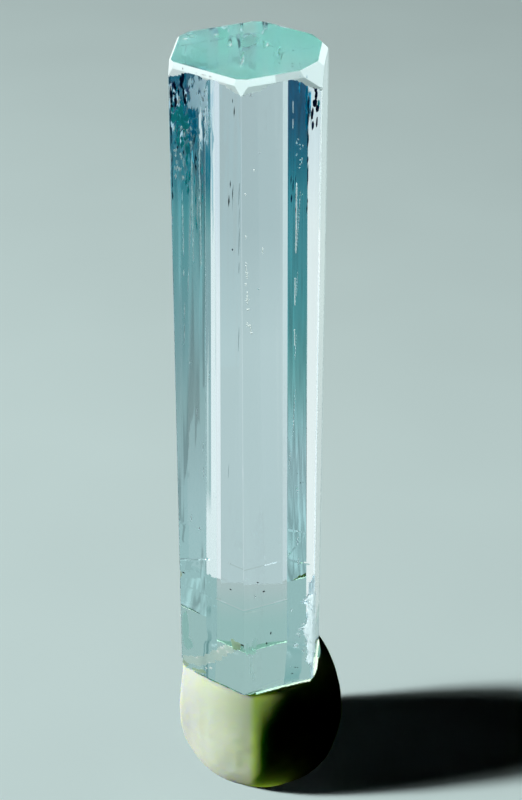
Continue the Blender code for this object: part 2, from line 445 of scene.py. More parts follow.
def finish_of(face):
    """Which finish a face takes: the bevels and chips are frosted or worn, the rest is mostly clear."""
    middle, normal = face.center, face.normal
    if normal.z < UNDERSIDE and middle.z < BASE_REACH:
        return CLEAR
    plane, share = nearest_face(middle)
    outer = middle.y < 0 and abs(middle.x) > CHIP_INNER
    if abs(normal.z) > CHIP_SLOPE and middle.z < CHIP_TOP and outer:
        return WORN if middle.x > 0 else BRUISED
    if middle.z < WORN_TOP:
        return lower_finish(plane, share, middle)
    down = (LENGTH - middle.z) / MM + FROST_JITTER * noise.noise(middle / FROST_JITTER_LENGTH)
    if plane in FROST_RIM and normal.z < FLAT_SLOPE and down < between(FROST_RIM[plane], share):
        corner = share > HAZY_FROM if plane == FRONT_LEFT else share < HAZY_TO
        return HAZY if corner else FROSTED
    bevelled = middle.z > LENGTH - BEVEL_REACH and BEVEL_SLOPE < normal.z < FLAT_SLOPE
    return FROSTED if bevelled else CLEAR


def finish_material(name, colour, metallic, transmission, roughness):
    """The absorbing crystal with one kind of surface."""
    values = {"Metallic": metallic, "IOR": IOR, "Transmission Weight": transmission}
    material = new_material(name, colour, roughness, values)
    tree = material.node_tree
    volume = add_node(tree, "VolumeAbsorption", {"Color": ABSORB_COLOUR, "Density": ABSORB_DENSITY})
    feed(tree.nodes["Material Output"], {"Volume": volume.outputs["Volume"]})
    return material


def make_crystal():
    tables = ridge_tables()
    foot, flat_end = ring(0.0, tables), ring(LENGTH, tables)
    rings = [raised(foot, share, base_level) for share in BASE_RINGS]
    rings += [[Vector((p.x, p.y, z)) for p in ring(z, tables)] for z in levels()]
    rings += [raised(flat_end, share, top_level) for share in TOP_RINGS]
    middle = Vector((0.0, 0.0))
    low, high = Vector((0, 0, base_level(middle))), Vector((0, 0, top_level(middle)))
    crystal = lofted("jeremejevite_crystal", rings, low, high)
    data = crystal.data
    for finish in FINISHES:
        data.materials.append(finish_material(*finish))
    for face in data.polygons:
        face.material_index = finish_of(face)
    data.transform(Matrix.Translation((AXIS_X, 0, BASE_HEIGHT)))
    crystal.visible_diffuse = False
    belong(crystal, "crystal")


# Marks in and on the crystal

# Cracks and specks inside it: face, share across it, height, half width, half height and depth
LEFT_CRACKS = (
    (11, 0.475, 31.1, 0.1, 0.09, 0.02), (11, 0.576, 31.14, 0.07, 0.07, 0.02),
    (11, 0.865, 30.92, 0.09, 0.14, 0.02), (11, 0.065, 29.85, 0.05, 0.07, 0.02),
    (11, 0.145, 29.75, 0.05, 0.06, 0.02), (11, 0.06, 28.35, 0.05, 0.16, 0.02),
    (11, 0.16, 28.5, 0.06, 0.1, 0.02), (11, 0.2, 28.25, 0.04, 0.14, 0.02),
    (11, 0.143, 19.8, 0.025, 0.5, 0.15), (11, 0.13, 18.6, 0.02, 0.6, 0.15),
    (11, 0.205, 21.3, 0.02, 0.7, 0.15), (11, 0.25, 24, 0.03, 1.6, 0.15),
    (11, 0.36, 24.8, 0.025, 1.2, 0.15), (11, 0.3, 14.8, 0.025, 0.32, 0.15),
    (11, 0.388, 11.75, 0.025, 0.38, 0.15), (11, 0.385, 13.1, 0.02, 0.3, 0.15),
    (11, 0.217, 17.28, 0.05, 0.06, 0.1), (11, 0.186, 8.95, 0.03, 0.26, 0.1),
    (11, 0.314, 8.55, 0.06, 0.09, 0.1),
)
RIGHT_CRACKS = (
    (1, 0.129, 30.61, 0.07, 0.06, 0.05), (1, 0.255, 27.95, 0.03, 0.05, 0.3),
    (1, 0.24, 21.6, 0.05, 0.03, 0.3), (1, 0.174, 5.54, 0.03, 0.09, 0.1),
    (1, 0.724, 18.4, 0.025, 0.65, 0.15), (1, 0.735, 21.5, 0.025, 0.6, 0.15),
    (1, 0.75, 24.6, 0.03, 1.3, 0.15), (1, 0.71, 15, 0.025, 1.25, 0.15),
    (1, 0.66, 12.6, 0.02, 0.5, 0.15), (1, 0.769, 10.87, 0.05, 0.05, 0.1),
    (1, 0.77, 8.6, 0.11, 0.05, 0.1), (1, 0.775, 8.1, 0.04, 0.22, 0.1), (1, 0.79, 6.9, 0.05, 0.2, 0.1),
    (1, 0.768, 2.05, 0.11, 0.11, 0.12), (1, 0.796, 2.7, 0.1, 0.04, 0.1),
    (1, 0.82, 2.55, 0.05, 0.05, 0.1), (1, 0.874, 1.63, 0.07, 0.07, 0.1),
    (1, 0.915, 2.9, 0.16, 0.1, 0.1), (1, 0.88, 3.2, 0.22, 0.05, 0.1), (1, 0.93, 2.2, 0.1, 0.22, 0.1),
    (1, 0.94, 4.7, 0.12, 0.12, 0.1), (1, 0.9, 4.6, 0.16, 0.06, 0.1), (1, 0.7, 4.2, 0.05, 0.06, 0.1),
)
DARK_MARKS = (
    (11, 0.901, 29.9, 0.03, 0.26, 0.06), (11, 0.88, 30.35, 0.02, 0.12, 0.06),
    (11, 0.818, 25.8, 0.04, 0.32, 0.06), (11, 0.84, 26.6, 0.025, 0.2, 0.06),
    (11, 0.87, 26.2, 0.02, 0.3, 0.06), (11, 0.864, 23.59, 0.045, 0.06, 0.05),
    (11, 0.047, 5.66, 0.12, 0.04, 0.05), (11, 0.795, 5.86, 0.08, 0.04, 0.05),
    (1, 0.29, 5.76, 0.08, 0.05, 0.05), (1, 0.203, 6.36, 0.07, 0.04, 0.05),
    (1, 0.394, 3.22, 0.04, 0.1, 0.1), (1, 0.335, 2.69, 0.05, 0.07, 0.1),
)
# Blots under the etched corners, in the same order of values, but all at one depth
MARK_DEPTH = 0.02
NAVY_BLOTS = (
    (1, 0.885, 30.62, 0.05, 0.06), (1, 0.91, 30.5, 0.05, 0.05), (1, 0.935, 30.42, 0.06, 0.2),
    (1, 0.94, 30.1, 0.07, 0.24), (1, 0.925, 29.8, 0.11, 0.18), (1, 0.96, 29.55, 0.09, 0.16),
    (1, 0.895, 29.35, 0.06, 0.26), (1, 0.905, 28.85, 0.06, 0.2), (1, 0.955, 28.95, 0.04, 0.24),
    (11, 0.235, 30, 0.05, 0.1), (11, 0.48, 30, 0.05, 0.16),
)
TEAL_BLOTS = ((1, 0.975, 29.75, 0.05, 0.18),)
# Clusters of small flakes: face, two shares, two heights, how many, largest half width and half height
NAVY_CLUSTERS = (
    (11, 0.01, 0.018, 25.2, 30.8, 26, 0.035, 0.4), (11, 0.02, 0.1, 29.3, 30.8, 13, 0.09, 0.26),
    (11, 0.13, 0.23, 29.7, 31, 13, 0.09, 0.26), (11, 0.04, 0.2, 27.2, 27.8, 4, 0.05, 0.16),
    (11, 0.34, 0.37, 26.8, 28.6, 7, 0.04, 0.28), (1, 0.838, 0.85, 24.6, 30.2, 22, 0.035, 0.4),
    (1, 0.63, 0.7, 24.6, 26.6, 8, 0.03, 0.34),
)
TEAL_CLUSTERS = (
    (11, 0.03, 0.26, 28.6, 29.5, 34, 0.14, 0.24), (11, 0.03, 0.26, 27.7, 28.6, 16, 0.09, 0.26),
    (11, 0.2, 0.28, 25.6, 27.8, 14, 0.07, 0.32), (11, 0.33, 0.37, 24, 26.6, 6, 0.035, 0.36),
    (11, 0.44, 0.46, 24.6, 27, 4, 0.03, 0.36),
)
DEEP_CLUSTERS = (
    (11, 0.275, 0.365, 28.1, 29.5, 26, 0.09, 0.24), (1, 0.812, 0.832, 28.8, 31, 30, 0.035, 0.3),
    (1, 0.722, 0.735, 30.3, 31, 6, 0.03, 0.2),
)
PALE_CLUSTERS = (
    (11, 0.27, 0.54, 29.6, 30.9, 60, 0.12, 0.34), (11, 0.48, 0.56, 28.2, 29.6, 12, 0.06, 0.28),
)
LINE_CLUSTERS = (
    (11, 0.296, 0.303, 22.4, 28.7, 60, 0.035, 0.4), (11, 0.408, 0.415, 22.4, 27.7, 54, 0.04, 0.4),
    (11, 0.15, 0.16, 21.6, 25.4, 22, 0.025, 0.4),
)
WHITE_CLUSTERS = (
    (11, 0.05, 0.19, 26.2, 27.4, 16, 0.06, 0.16), (11, 0.08, 0.14, 29.6, 30.3, 5, 0.05, 0.14),
    (11, 0.12, 0.26, 28.35, 28.6, 7, 0.05, 0.08), (11, 0.28, 0.31, 27.8, 28, 3, 0.07, 0.05),
)
# Bright flakes that lean back and catch the light from above
LIT_CLUSTERS = (
    (1, 0.7, 0.8, 27.6, 28.3, 7, 0.05, 0.06), (1, 0.74, 0.78, 26.9, 27.6, 6, 0.05, 0.06),
)
FLAKE_SIZES = (0.4, 1.0)
# Marks on the flat end: place from the axis and half sizes
FLAT_END_WHITE = (
    (-1.59, 1.55, 0.12, 0.1), (-2.83, 0.96, 0.14, 0.08), (-2.6, 1.3, 0.1, 0.06),
    (-0.16, -1.3, 0.04, 0.7), (-0.86, 0.47, 0.06, 0.25), (0.68, 0.64, 0.05, 0.3),
)
FLAT_END_DARK = ((1.4, -0.6, 0.03, 0.45), (1.28, -0.4, 0.02, 0.3))
FLAT_END_FILMS = (
    (-0.12, 0.92, 0.4, 0.56), (-0.16, 0.86, 0.34, 0.48), (-0.13, 1.28, 0.14, 0.42),
    (-1.54, 1.4, 0.12, 0.18), (-2.62, 1.25, 0.18, 0.12), (-0.93, 0.66, 0.06, 0.35),
    (0.55, 0.66, 0.07, 0.3), (-0.23, -0.7, 0.05, 0.5), (1.23, -0.06, 0.05, 0.4),
)
END_DEPTH = 0.03 * MM
END_LIFT = 0.004 * MM
END_THICKNESS = 0.001 * MM

# Films on the outside of the front faces. Their depth is OUT, which puts them clear of the face
OUT = -0.03
# Painted light: pale films low on the front-left face paint the lit putty as seen through the crystal
LIT_PUTTY_FILMS = (
    (11, 0.6, 1.95, 0.12, 0.1), (11, 0.66, 2.25, 0.14, 0.1), (11, 0.7, 2.42, 0.1, 0.07),
    (11, 0.74, 2.2, 0.12, 0.1), (11, 0.78, 2.5, 0.08, 0.07), (11, 0.69, 2, 0.07, 0.06),
    (11, 0.56, 1.7, 0.08, 0.06), (11, 0.45, 1.05, 0.07, 0.07), (11, 0.47, 0.75, 0.09, 0.06),
    (11, 0.4, 0.62, 0.06, 0.05), (11, 0.25, 1, 0.08, 0.05),
)
# Painted light: a fainter layer of the same lit putty seen through the crystal
THIN_LIT_PUTTY_FILMS = (
    (11, 0.1, 0.66, 0.36, 0.2), (11, 0.22, 0.76, 0.4, 0.26), (11, 0.34, 1, 0.36, 0.26),
    (11, 0.45, 1.26, 0.36, 0.28), (11, 0.56, 1.66, 0.36, 0.28), (11, 0.66, 2.06, 0.36, 0.26),
    (11, 0.76, 2.36, 0.32, 0.24),
)
# Painted shade: olive films paint the shaded putty as seen through the crystal, and the shade along the
# crystal's foot
OLIVE_SHADE_FILMS = (
    (11, 0.87, 2.72, 0.2, 0.26), (11, 0.92, 2.85, 0.14, 0.24), (11, 0.84, 2.95, 0.14, 0.12),
    (11, 0.25, 0.24, 0.3, 0.1), (11, 0.35, 0.34, 0.2, 0.12),
)
MOSS_FILMS = (
    (1, 0.045, 2.75, 0.1, 0.34), (1, 0.09, 2.55, 0.1, 0.22), (1, 0.15, 2.85, 0.12, 0.36),
    (1, 0.13, 2.4, 0.16, 0.14), (1, 0.1, 1.95, 0.03, 0.3), (1, 0.095, 1.45, 0.03, 0.3),
    (1, 0.13, 1.05, 0.03, 0.24),
)
TEAL_FILMS = ((11, 0.06, 2.55, 0.15, 1.0), (11, 0.075, 2.3, 0.2, 0.9), (11, 0.11, 1.6, 0.26, 0.42))
# Grey flaws by the front edge
GREY_FILMS = (
    (11, 0.972, 26.35, 0.022, 0.5), (11, 0.972, 25.25, 0.014, 0.45), (11, 0.968, 24.1, 0.024, 0.62),
    (11, 0.965, 22.85, 0.018, 0.28), (11, 0.955, 19.4, 0.02, 0.62), (11, 0.885, 26.1, 0.014, 0.7),
    (11, 0.79, 12.4, 0.014, 0.4),
)
# Painted shadow: a dark line where the front faces meet the putty, in place of the contact shadow there
CONTACT_SHADOW_FILMS = (
    (11, 0.3, 0.06, 0.36, 0.035), (11, 0.5, 0.05, 0.4, 0.035), (11, 0.72, 0.05, 0.4, 0.035),
    (11, 0.9, 0.05, 0.34, 0.03), (1, 0.08, 0.05, 0.34, 0.03), (1, 0.2, 0.05, 0.24, 0.025),
)
# Name of each piece of film, its marks, colour and transmission
FILMS = (
    ("thin_lit_putty_films", THIN_LIT_PUTTY_FILMS, (0.86, 0.88, 0.78), 0.85),
    ("lit_putty_films", LIT_PUTTY_FILMS, (0.97, 0.97, 0.9), 0.62),
    ("olive_shade_films", OLIVE_SHADE_FILMS, (0.76, 0.76, 0.42), 0.94),
    ("moss_films", MOSS_FILMS, (0.8, 0.91, 0.87), 1),
    ("teal_films", TEAL_FILMS, (0.66, 0.86, 0.8), 1),
    ("grey_films", GREY_FILMS, (0.26, 0.32, 0.32), 0.98),
    ("painted_contact_shadow", CONTACT_SHADOW_FILMS, (0.07, 0.16, 0.1), 0.95),
)
FILM_IOR = 1.05

# White crumbs on the outside of the front-right face, all at one depth: share, height and half sizes
CRUMB = -0.11
CRUMBS = (
    (0.049, 23.02, 0.035, 0.14), (0.053, 22.7, 0.055, 0.16), (0.062, 22.52, 0.06, 0.16),
    (0.045, 22.1, 0.05, 0.08), (0.062, 21.45, 0.04, 0.3), (0.066, 21.35, 0.045, 0.26),
    (0.064, 21.3, 0.12, 0.05), (0.075, 20.85, 0.08, 0.05), (0.06, 20.15, 0.05, 0.12),
    (0.09, 20.05, 0.11, 0.05), (0.108, 19.85, 0.05, 0.14), (0.118, 19.66, 0.08, 0.05),
    (0.262, 23.54, 0.045, 0.16), (0.265, 23.5, 0.045, 0.12), (0.157, 27.32, 0.045, 0.06),
    (0.045, 26.3, 0.045, 0.06), (0.045, 24.35, 0.035, 0.1),
)
# Lines of crumbs up the front-right face: share of its width, lowest and highest place, half width
CRUMB_LINES = (
    (0.698, 23.1, 26.4, 0.03), (0.7, 24.2, 26.2, 0.036), (0.69, 20.6, 21.9, 0.022),
    (0.69, 18.6, 19.4, 0.02), (0.645, 29.6, 30.1, 0.016), (0.645, 28.9, 29.3, 0.013),
)
CRUMB_GAP = 0.045
CRUMB_HALF_HEIGHT = 0.04
# Clusters of crumbs in the white band along the right edge, low down
WORN_BAND = (
    (1, 0.925, 0.985, 1, 4.9, 260, 0.06, 0.1), (1, 0.87, 0.94, 2.5, 3.2, 50, 0.06, 0.08),
    (1, 0.87, 0.93, 4.4, 4.7, 14, 0.06, 0.06), (2, 0.1, 0.6, 1.4, 5.2, 260, 0.06, 0.1),
)

MARK_THICKNESS = 0.01 * MM
MARK_TILT = 0.05
FLAKE_ROUGHNESS = 0.6
# How a long mark is broken up into small flakes that lean back
LEAN = 0.6
STEEP = 1.5
LEAN_STEP = 0.08 * MM
LEAN_OVERLAP = 1.1
LEAN_TAPER = 0.6
LEAN_RAGGED = 0.4
LEAN_RAGGED_LENGTH = 0.1 * MM
BLOT_SIDES = 14
BLOT_RAGGED = 0.45
BLOT_LOBES = 1.3
BLOT_RAGGED_LENGTH = 0.2 * MM


def at_depth(marks, depth):
    """Marks that all lie at one depth under their face."""
    return [(*mark, depth) for mark in marks]


def clustered(clusters, seed, depth=MARK_DEPTH):
    """Marks scattered over each cluster's part of a face, long ones and short ones mixed."""
    dice = random.Random(seed)
    marks = []
    for plane, left, right, low, high, count, wide, tall in clusters:
        for _ in range(count):
            size = dice.uniform(*FLAKE_SIZES)
            place = dice.uniform(left, right), dice.uniform(low, high)
            marks.append((plane, *place, size * wide, dice.uniform(*FLAKE_SIZES) * tall, depth))
    return marks


def crumb_line(share, low, high, half_width):
    """A line of small crumbs up the front-right face."""
    count = round((high - low) / CRUMB_GAP)
    heights = [low + CRUMB_GAP * step for step in range(count)]
    return [(share, height, half_width, CRUMB_HALF_HEIGHT) for height in heights]


def sliver(mesh, centre, wide, tall, thick):
    """A flat diamond with two points, three half axes given as vectors."""
    sides = [centre + wide, centre + thick, centre - wide, centre - thick]
    corners = [mesh.verts.new(side) for side in sides]
    top, foot = mesh.verts.new(centre + tall), mesh.verts.new(centre - tall)
    for first, second in zip(corners, corners[1:] + corners[:1]):
        mesh.faces.new((first, second, top))
        mesh.faces.new((second, first, foot))


def leaning(mesh, centre, wide, tall, thick, slope=LEAN):
    """A column of small flakes that lean back under the face, in place of one long mark."""
    steps = max(1, round(tall.length / LEAN_STEP))
    inward = thick.normalized()
    for step in range(steps):
        share = (2 * step + 1) / steps - 1
        place = centre + tall * share
        room = 1 - LEAN_TAPER * abs(share) + LEAN_RAGGED * noise.noise(place / LEAN_RAGGED_LENGTH)
        lean = inward * slope * tall.length / steps
        sliver(mesh, place + inward * LEAN_STEP, wide * room, tall / steps * LEAN_OVERLAP + lean, thick)


def steep(mesh, centre, wide, tall, thick):
    leaning(mesh, centre, wide, tall, thick, STEEP)


def blot(mesh, centre, wide, tall, thick):
    """A flat flake with an uneven rim, three half axes given as vectors."""
    rim = []
    for step in range(BLOT_SIDES):
        way = direction(math.tau * step / BLOT_SIDES)
        reach = 1 + BLOT_RAGGED * noise.noise(way * BLOT_LOBES + centre / BLOT_RAGGED_LENGTH)
        rim.append(mesh.verts.new(centre + (wide * way.x + tall * way.y) * reach))
    near, far = mesh.verts.new(centre + thick), mesh.verts.new(centre - thick)
    for first, second in zip(rim, rim[1:] + rim[:1]):
        mesh.faces.new((first, second, near))
        mesh.faces.new((second, first, far))


def face_mark(mesh, corners, mark, shape):
    """A mark in or on a side face, tilted a little."""
    plane, share, height, half_width, half_height, depth = mark
    start, end = corners[plane - 1], corners[plane]
    along = (end - start).normalized().to_3d()
    inward = -facing(plane)
    place = start.lerp(end, share) + inward * (depth * MM + MARK_THICKNESS)
    centre = Vector((place.x, place.y, height * MM))
    tall = Vector((0, 0, half_height * MM)) + along * MARK_TILT * half_height * MM
    shape(mesh, centre, along * half_width * MM, tall, inward.to_3d() * MARK_THICKNESS)


def end_mark(mesh, mark, shape):
    """A sliver just under the flat end, or a blot just over it."""
    x, y, half_width, half_length = mark
    lift, thickness = (END_LIFT, END_THICKNESS) if shape == blot else (-END_DEPTH, MARK_THICKNESS)
    centre = Vector((x * MM, y * MM, LENGTH + lift))
    wide, tall = Vector((half_width * MM, 0, 0)), Vector((0, half_length * MM, 0))
    shape(mesh, centre, wide, tall, Vector((0, 0, thickness)))


def make_marks(name, marks, material, shape=sliver, end_marks=()):
    corners = outline(LENGTH / 2)
    mesh = bmesh.new()
    for mark in marks:
        face_mark(mesh, corners, mark, shape)
    for mark in end_marks:
        end_mark(mesh, mark, shape)
    bmesh.ops.recalc_face_normals(mesh, faces=mesh.faces)
    piece = mesh_object(name, mesh)
    piece.data.materials.append(material)
    piece.data.transform(Matrix.Translation((AXIS_X, 0, BASE_HEIGHT)))
    belong(piece, "crystal")
    return piece


def make_films(name, marks, material, shape=blot, end_marks=()):
    """Marks on the outside, seen only from outside."""
    films = make_marks(name, marks, material, shape, end_marks)
    films.visible_transmission = False
    films.visible_glossy = False


def film_material(name, colour, transmission):
    """A thin film: tints what lies behind it and takes a little light itself."""
    values = {"IOR": FILM_IOR, "Transmission Weight": transmission}
    return new_material(name, colour, FLAKE_ROUGHNESS, values)


def flake_material(name, colour, metallic=1.0):
    return new_material(name, colour, FLAKE_ROUGHNESS, {"Metallic": metallic})


def make_cracks(white):
    """White cracks, and dark specks among them."""
    speck = new_material("dark_speck", (0.03, 0.06, 0.07), 0.8, {"Specular IOR Level": 0.1})
    make_marks("healed_cracks", [*LEFT_CRACKS, *clustered(WHITE_CLUSTERS, 5)], white, sliver, FLAT_END_WHITE)
    make_marks("lit_cracks", [*RIGHT_CRACKS, *clustered(LIT_CLUSTERS, 3)], white, leaning)
    make_marks("dark_specks", DARK_MARKS, speck, sliver, FLAT_END_DARK)


def make_flakes():
    """Blots and streaks of colour under the front faces."""
    navy = flake_material("navy_flake", (0.004, 0.012, 0.05))
    teal = flake_material("teal_flake", (0.025, 0.42, 0.46))
    deep = flake_material("deep_flake", (0.015, 0.34, 0.52))
    pale = flake_material("pale_flake", (0.86, 0.94, 1.0))
    line = flake_material("pale_line", (0.92, 1, 1))
    make_marks("navy_blots", at_depth(NAVY_BLOTS, MARK_DEPTH), navy, blot)
    make_marks("teal_blots", at_depth(TEAL_BLOTS, MARK_DEPTH), teal, blot)
    make_marks("navy_streaks", clustered(NAVY_CLUSTERS, 11), navy)
    make_marks("teal_streaks", clustered(TEAL_CLUSTERS, 12), teal)
    make_marks("deep_streaks", clustered(DEEP_CLUSTERS, 15), deep)
    make_marks("pale_streaks", clustered(PALE_CLUSTERS, 13), pale)
    make_marks("pale_lines", clustered(LINE_CLUSTERS, 14), line)


def make_crumbs(white):
    """Crumbs on the front-right face, the worn band along its edge and patches on the flat end."""
    lines = [crumb for line in CRUMB_LINES for crumb in crumb_line(*line)]
    crumbs = [(FRONT_RIGHT, *crumb, CRUMB) for crumb in (*CRUMBS, *lines)]
    worn = flake_material("worn_crumb", (0.56, 0.63, 0.65))
    patch = film_material("pale_patch", (0.66, 0.93, 0.87), 0.84)
    make_films("surface_crumbs", crumbs, white, leaning)
    make_films("worn_band", clustered(WORN_BAND, 9, CRUMB), worn, steep)
    make_films("pale_patches", (), patch, blot, FLAT_END_FILMS)


def make_all_marks():
    white = flake_material("healed_crack", (0.97, 1, 1), 0.8)
    make_cracks(white)
    make_flakes()
    for name, marks, colour, transmission in FILMS:
        make_films(name, at_depth(marks, OUT), film_material(name, colour, transmission))
    make_crumbs(white)


# Putty

PUTTY_RADIUS = 4.03 * MM
PUTTY_FOOT = 2.6 * MM
PUTTY_WIDEST = 2.9 * MM
PUTTY_SHOULDER = 1.35
# Radius of the seat's rim by direction in degrees
SEAT_RIM = (
    (-180, 3.62), (-160, 3.45), (-130, 3.3), (-90, 3.35), (-60, 3.25), (-38, 3.1), (-20, 2.85),
    (0, 2.72), (20, 2.85), (40, 3.15), (98, 3.66), (130, 3.6), (180, 3.62),
)
SEAT_GAP = 0.03 * MM
SEAT_FILM = 0.04 * MM
# On the front right, from LINE_START on, the seat's painted light reaches RIM_OUT past the crystal, a
# painted highlight along the crystal's foot. At the back it reaches SHADE_START past it, and a rim of
# painted shade follows as far as SHADE_WIDTH
LINE_START = 0.6 * MM
RIM_OUT = 0.12 * MM
SHADE_START = 0.06 * MM
SHADE_WIDTH = 0.4 * MM
# Colours from the left to the right side, at shares of the span. On the bare putty they paint light and
# shade: darker at the far left, and olive over the right half where the light gives out
PUTTY_SPAN = (-4.1, 4.1)
PUTTY_LIGHT_AND_SHADE_COLOURS = (
    (0, 0.34, 0.37, 0.34), (0.1, 0.44, 0.49, 0.42), (0.22, 0.5, 0.58, 0.46), (0.47, 0.52, 0.63, 0.42),
    (0.51, 0.44, 0.66, 0.14), (1, 0.46, 0.64, 0.18),
)
SEAT_SPAN = (-3.0, 2.5)
# Painted light: the seat is a brighter, lit copy of the putty that grows lighter to the right
SEAT_LIT_COLOURS = ((0, 0.62, 1.0, 0.82), (1, 0.95, 1.0, 0.88))
# Painted shade: the rim behind the crystal is a darker, shaded copy of the seat
RIM_SHADE_COLOURS = ((0, 0.3, 0.5, 0.42),)
PUTTY_SIDES = 240
PUTTY_ARC_STEPS = 44
FOOT_RINGS = (0.5, 1.0)
SEAT_RINGS = 60
LUMP_DEPTH = 0.1 * MM
LUMP_LENGTH = 1.9 * MM
CREASE_DEPTH = 0.03 * MM
CREASE_LENGTH = 0.55 * MM
# Dents of a thumb: direction in degrees, height, half width in degrees and depth
THUMB_DENTS = ((-125, 3.2, 37, 0.34), (-52, 3, 32, 0.36), (-4, 2.9, 26, 0.08), (95, 3.2, 38, 0.24))
DENT_HALF_HEIGHT = 3.2 * MM
BARE, SEAT, RIM = range(3)


def rim_radius(angle):
    return between(SEAT_RIM, math.degrees(math.remainder(angle, math.tau))) * MM


def seat_level(x, y):
    """The seat hugs the base of the crystal and leaves a film of air under it."""
    under = Vector((x - AXIS_X, y))
    return BASE_HEIGHT + base_level(under) - SEAT_GAP


def dent(angle, z):
    place = Vector((PUTTY_RADIUS * math.cos(angle), PUTTY_RADIUS * math.sin(angle), z))
    depth = LUMP_DEPTH * noise.noise(place / LUMP_LENGTH)
    depth += CREASE_DEPTH * noise.noise(place / CREASE_LENGTH)
    for degrees, height, half_width, deep in THUMB_DENTS:
        turn = math.remainder(angle - math.radians(degrees), math.tau)
        aside = hump(turn, math.radians(half_width))
        depth += deep * MM * aside * hump(z - height * MM, DENT_HALF_HEIGHT)
    return depth


def round_point(angle, radius, z):
    return Vector((radius * math.cos(angle), radius * math.sin(angle), z))


def lower_point(angle, turn):
    z = PUTTY_WIDEST * (1 - math.cos(turn))
    radius = PUTTY_FOOT + (PUTTY_RADIUS - PUTTY_FOOT) * math.sin(turn)
    return round_point(angle, radius - dent(angle, z) * math.sin(turn), z)


def upper_point(angle, turn):
    rim = rim_radius(angle)
    top = seat_level(rim * math.cos(angle), rim * math.sin(angle))
    rise = math.sin(turn)
    z = PUTTY_WIDEST + (top - PUTTY_WIDEST) * rise
    radius = rim + (PUTTY_RADIUS - rim) * math.cos(turn) ** PUTTY_SHOULDER
    return round_point(angle, radius - dent(angle, z) * (1 - rise), z)


def seat_point(angle, share):
    radius = rim_radius(angle) * share
    level = seat_level(radius * math.cos(angle), radius * math.sin(angle))
    return round_point(angle, radius, level)


def make_putty():
    angles = [math.tau * side / PUTTY_SIDES for side in range(PUTTY_SIDES)]
    turns = [math.radians(90) * (step + 1) / PUTTY_ARC_STEPS for step in range(PUTTY_ARC_STEPS)]
    shares = [1 - step / SEAT_RINGS for step in range(1, SEAT_RINGS)]
    rings = [[round_point(angle, PUTTY_FOOT * share, 0) for angle in angles] for share in FOOT_RINGS]
    rings += [[lower_point(angle, turn) for angle in angles] for turn in turns]
    rings += [[upper_point(angle, turn) for angle in angles] for turn in turns]
    rings += [[seat_point(angle, share) for angle in angles] for share in shares]
    putty = lofted("mounting_putty", rings, Vector((0, 0, 0)), Vector((0, 0, seat_level(0, 0))))
    putty.data.shade_smooth()
    putty.data.materials.append(putty_material())
    putty.data.materials.append(seat_material("putty_seat_painted_light", SEAT_LIT_COLOURS))
    putty.data.materials.append(seat_material("putty_rim_painted_shade", RIM_SHADE_COLOURS))
    for face in putty.data.polygons:
        face.material_index = seat_part(face.center)
    putty.visible_diffuse = False
    belong(putty, "putty_base")


def seat_part(point):
    """Which material the putty takes: bare, the seat under the crystal in painted light, or the rim behind
    it in painted shade.
    """
    if point.z < seat_level(point.x, point.y) - SEAT_FILM:
        return BARE
    under = Vector((point.x - AXIS_X, point.y))
    reach = max(under.dot(facing(face)) - PROUD[face] * MM for face in FACES)
    if under.y < 0:
        edge = APOTHEM + RIM_OUT if under.x > LINE_START else APOTHEM
        return SEAT if reach < edge else BARE
    if reach < APOTHEM + SHADE_START:
        return SEAT
    return RIM if reach < APOTHEM + SHADE_WIDTH else BARE


def colour_across(material, stops, span):
    """Give a material a colour that changes from left to right."""
    reach = [side * MM for side in span]
    colour = ramp_along(material.node_tree, stops, 1.0, "Object", "X", reach)
    feed(shader_of(material), {"Base Color": colour})


def seat_material(name, stops):
    """The putty as light from the crystal above shows it, its colour a painted lit copy for the seat and a
    painted shaded copy for the rim.
    """
    material = new_material(name, (1, 1, 1), 0.9, {"Metallic": 0.9, "Specular IOR Level": 0.0})
    colour_across(material, stops, SEAT_SPAN)
    return material


def putty_material():
    """Soft, matt and grainy, with light that scatters under its surface, and painted light and shade from
    left to right.
    """
    values = {
        "Specular IOR Level": 0.0,
        "Subsurface Weight": 1.0,
        "Subsurface Radius": (0.7, 1.0, 0.04),
        "Subsurface Scale": 0.85 * MM,
    }
    material = new_material("mounting_putty", (0.48, 0.55, 0.45), 0.8, values)
    tree = material.node_tree
    where = add_node(tree, "TexCoord").outputs["Object"]
    grain = add_node(tree, "TexNoise", {"Vector": where, "Scale": 2600, "Detail": 3})
    values = {"Height": grain.outputs["Fac"], "Strength": 0.25, "Distance": 0.03 * MM}
    feed(shader_of(material), {"Normal": add_node(tree, "Bump", values).outputs["Normal"]})
    # Painted light and shade: darker at the far left, olive over the right half where the light gives out
    colour_across(material, PUTTY_LIGHT_AND_SHADE_COLOURS, PUTTY_SPAN)
    return material


# Stage

FLOOR_HALF = 1.2
FLOOR_COLOUR = (0.72, 0.90, 0.88)
# Painted shade: the floor grows darker along this way, over this reach
FLOOR_SHADE_WAY = (0.2, 1, 0)
FLOOR_SHADE_REACH = (25 * MM, 110 * MM)
